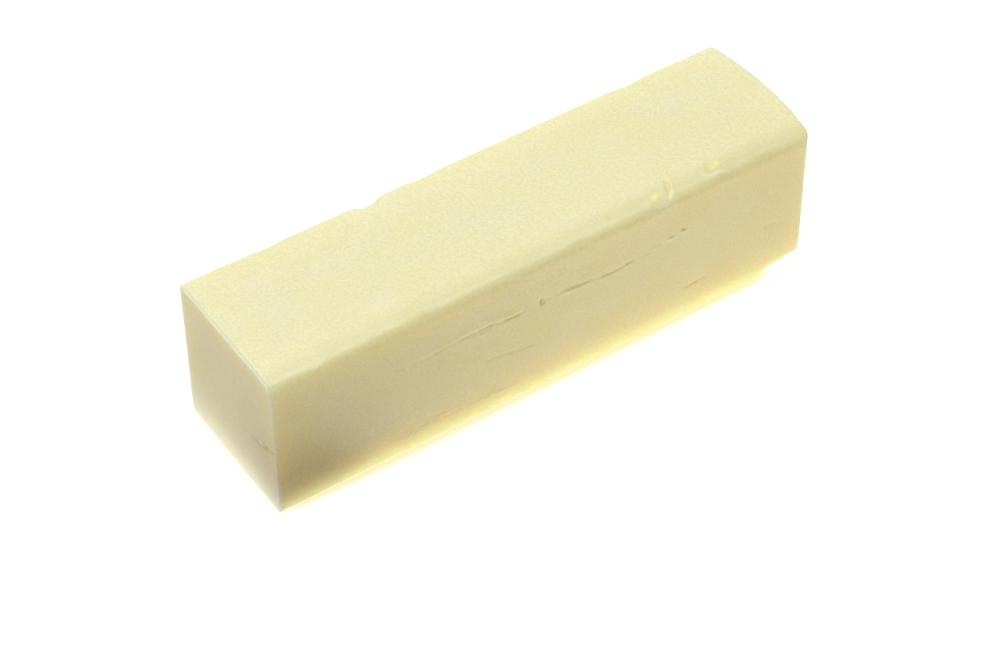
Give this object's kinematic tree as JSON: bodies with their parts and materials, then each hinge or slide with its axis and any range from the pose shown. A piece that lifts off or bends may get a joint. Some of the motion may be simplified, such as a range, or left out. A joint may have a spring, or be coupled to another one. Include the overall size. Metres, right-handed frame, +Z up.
{
  "type": "stick of butter",
  "caption": "Unwrapped stick of butter: a long block with soft edges, small nicks and the creases of its wrapper.",
  "frame": {"origin": "centre of the base, on the surface the stick stands on", "axes": "+Z up, +X along the stick from its flat, crisp end to its soft, bowed end; the creased long side faces -Y"},
  "size_m": [0.1206, 0.0318, 0.0324],
  "materials": {
    "butter": "satin"
  },
  "bodies": {
    "root": {"butter_stick": "butter"}
  },
  "joints": []
}
